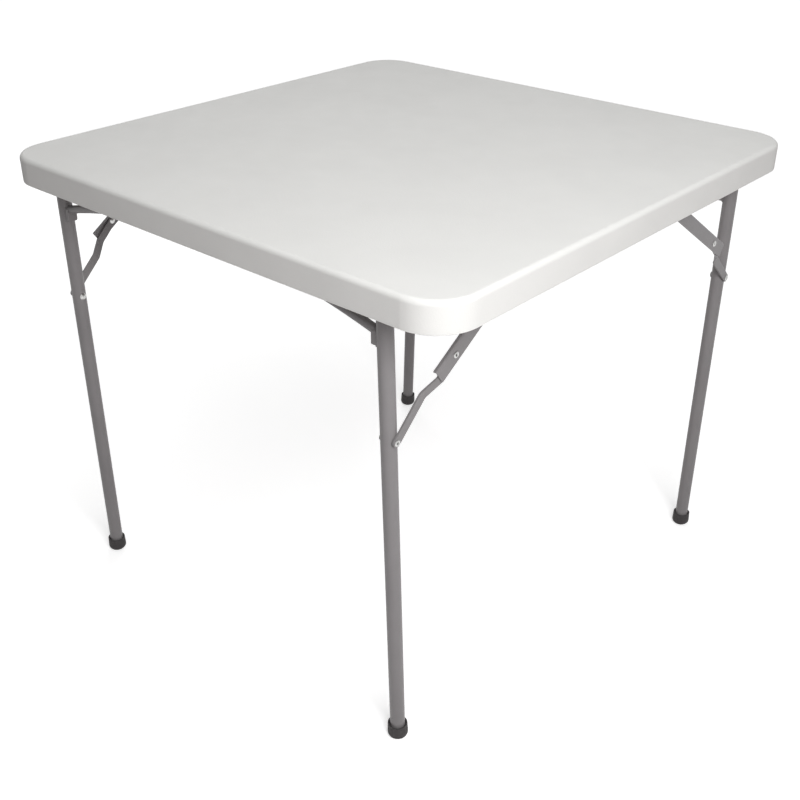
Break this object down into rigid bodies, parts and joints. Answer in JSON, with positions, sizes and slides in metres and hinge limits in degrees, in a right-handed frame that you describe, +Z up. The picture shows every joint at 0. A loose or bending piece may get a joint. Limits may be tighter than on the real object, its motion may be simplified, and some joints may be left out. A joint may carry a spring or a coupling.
{
  "type": "folding card table",
  "caption": "Square blow-moulded folding card table with tube leg frames that fold flat under the top on two-part side braces.",
  "frame": {"origin": "on the floor under the centre of the top", "axes": "+Z up; X along the hinge lines, from the left leg to the front leg; near frame at -Y folds towards +Y"},
  "size_m": [0.86, 0.86, 0.74],
  "materials": {
    "moulded_top": "fine pebbled moulded surface",
    "frame_paint": "satin grey powder coat",
    "zinc": "bright zinc plate",
    "foot_rubber": "matt"
  },
  "bodies": {
    "top": {"tabletop": "moulded_top", "leg_bracket_left": "frame_paint", "leg_bracket_front": "frame_paint", "leg_bracket_right": "frame_paint", "leg_bracket_back": "frame_paint", "pivot_rivet_left": "zinc", "pivot_rivet_front": "zinc", "pivot_rivet_right": "zinc", "pivot_rivet_back": "zinc", "stay_bracket_left": "frame_paint", "stay_bracket_front": "frame_paint", "stay_bracket_right": "frame_paint", "stay_bracket_back": "frame_paint", "anchor_rivet_left": "zinc", "anchor_rivet_front": "zinc", "anchor_rivet_right": "zinc", "anchor_rivet_back": "zinc", "leg_bracket_screws": "zinc", "stay_bracket_screws": "zinc"},
    "near_frame": {"arch_bar_near": "frame_paint", "leg_left": "frame_paint", "leg_front": "frame_paint", "foot_cap_left": "foot_rubber", "foot_cap_front": "foot_rubber", "leg_bolt_left": "zinc", "leg_bolt_front": "zinc"},
    "far_frame": {"arch_bar_far": "frame_paint", "leg_right": "frame_paint", "leg_back": "frame_paint", "foot_cap_right": "foot_rubber", "foot_cap_back": "foot_rubber", "leg_bolt_right": "zinc", "leg_bolt_back": "zinc"},
    "stay_left": {"brace_stay_left": "frame_paint", "elbow_rivet_left": "zinc"},
    "link_left": {"brace_link_left": "frame_paint", "link_bolt_end_left": "zinc"},
    "stay_front": {"brace_stay_front": "frame_paint", "elbow_rivet_front": "zinc"},
    "link_front": {"brace_link_front": "frame_paint", "link_bolt_end_front": "zinc"},
    "stay_right": {"brace_stay_right": "frame_paint", "elbow_rivet_right": "zinc"},
    "link_right": {"brace_link_right": "frame_paint", "link_bolt_end_right": "zinc"},
    "stay_back": {"brace_stay_back": "frame_paint", "elbow_rivet_back": "zinc"},
    "link_back": {"brace_link_back": "frame_paint", "link_bolt_end_back": "zinc"}
  },
  "joints": [
    {"name": "near_fold", "type": "hinge", "parent": "top", "child": "near_frame", "pos_m": [0, -0.377, 0.703], "axis": [1, 0, 0], "range_deg": [0, 90]},
    {"name": "far_fold", "type": "hinge", "parent": "top", "child": "far_frame", "pos_m": [0, 0.377, 0.703], "axis": [-1, 0, 0], "range_deg": [0, 90]},
    {"name": "left_stay_turn", "type": "hinge", "parent": "top", "child": "stay_left", "pos_m": [-0.3947, -0.121, 0.703], "axis": [1, 0, 0], "range_deg": [-33.34, 0]},
    {"name": "left_elbow_bend", "type": "hinge", "parent": "stay_left", "child": "link_left", "pos_m": [-0.3947, -0.28101, 0.59779], "axis": [1, 0, 0], "range_deg": [0, 169.31]},
    {"name": "front_stay_turn", "type": "hinge", "parent": "top", "child": "stay_front", "pos_m": [0.3309, -0.121, 0.703], "axis": [1, 0, 0], "range_deg": [-33.34, 0]},
    {"name": "front_elbow_bend", "type": "hinge", "parent": "stay_front", "child": "link_front", "pos_m": [0.3309, -0.28101, 0.59779], "axis": [1, 0, 0], "range_deg": [0, 169.31]},
    {"name": "right_stay_turn", "type": "hinge", "parent": "top", "child": "stay_right", "pos_m": [0.3947, 0.121, 0.703], "axis": [-1, 0, 0], "range_deg": [-33.34, 0]},
    {"name": "right_elbow_bend", "type": "hinge", "parent": "stay_right", "child": "link_right", "pos_m": [0.3947, 0.28101, 0.59779], "axis": [-1, 0, 0], "range_deg": [0, 169.31]},
    {"name": "back_stay_turn", "type": "hinge", "parent": "top", "child": "stay_back", "pos_m": [-0.3309, 0.121, 0.703], "axis": [-1, 0, 0], "range_deg": [-33.34, 0]},
    {"name": "back_elbow_bend", "type": "hinge", "parent": "stay_back", "child": "link_back", "pos_m": [-0.3309, 0.28101, 0.59779], "axis": [-1, 0, 0], "range_deg": [0, 169.31]}
  ],
  "couplings": [
    {"joint": "left_stay_turn", "follows": "near_fold", "ratio": -0.3703},
    {"joint": "left_elbow_bend", "follows": "near_fold", "ratio": 1.8811},
    {"joint": "front_stay_turn", "follows": "near_fold", "ratio": -0.3703},
    {"joint": "front_elbow_bend", "follows": "near_fold", "ratio": 1.8811},
    {"joint": "right_stay_turn", "follows": "far_fold", "ratio": -0.3703},
    {"joint": "right_elbow_bend", "follows": "far_fold", "ratio": 1.8811},
    {"joint": "back_stay_turn", "follows": "far_fold", "ratio": -0.3703},
    {"joint": "back_elbow_bend", "follows": "far_fold", "ratio": 1.8811}
  ]
}
